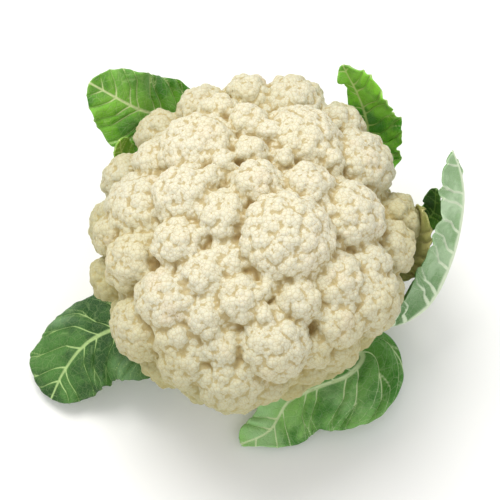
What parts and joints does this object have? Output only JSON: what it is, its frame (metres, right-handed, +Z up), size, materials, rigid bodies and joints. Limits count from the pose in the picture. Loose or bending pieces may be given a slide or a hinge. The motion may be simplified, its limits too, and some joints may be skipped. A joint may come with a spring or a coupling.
{
  "type": "cauliflower",
  "caption": "Whole cauliflower head: a knobbly cream curd on its cut stalk, with loose green leaves round it, standing on the cut face.",
  "frame": {"origin": "centre of the stalk's cut face, which is the flat spot the head stands on", "axes": "+Z up along the stalk through the middle of the curd, -Y towards the front, +X towards the side of the tall folded leaf"},
  "size_m": [0.2331, 0.2076, 0.1474],
  "materials": {
    "curd": "matte, moist, knobbly vegetable flesh",
    "stalk": "smooth matte vegetable stem",
    "leaf_bright": "satin leaf, pale veins",
    "leaf_young": "satin young leaf",
    "leaf_pale": "waxy pale leaf underside",
    "leaf_dark": "waxy dark leaf, pale veins"
  },
  "bodies": {
    "root": {"curd": "curd", "stalk": "stalk", "leaf_back_left": "leaf_bright", "leaf_back_left_small": "leaf_young", "leaf_back_right": "leaf_bright", "leaf_right_small": "leaf_bright", "leaf_right_inner": "leaf_young", "leaf_right_tall": "leaf_pale", "leaf_front_right": "leaf_dark", "leaf_front_left": "leaf_dark"}
  },
  "joints": []
}
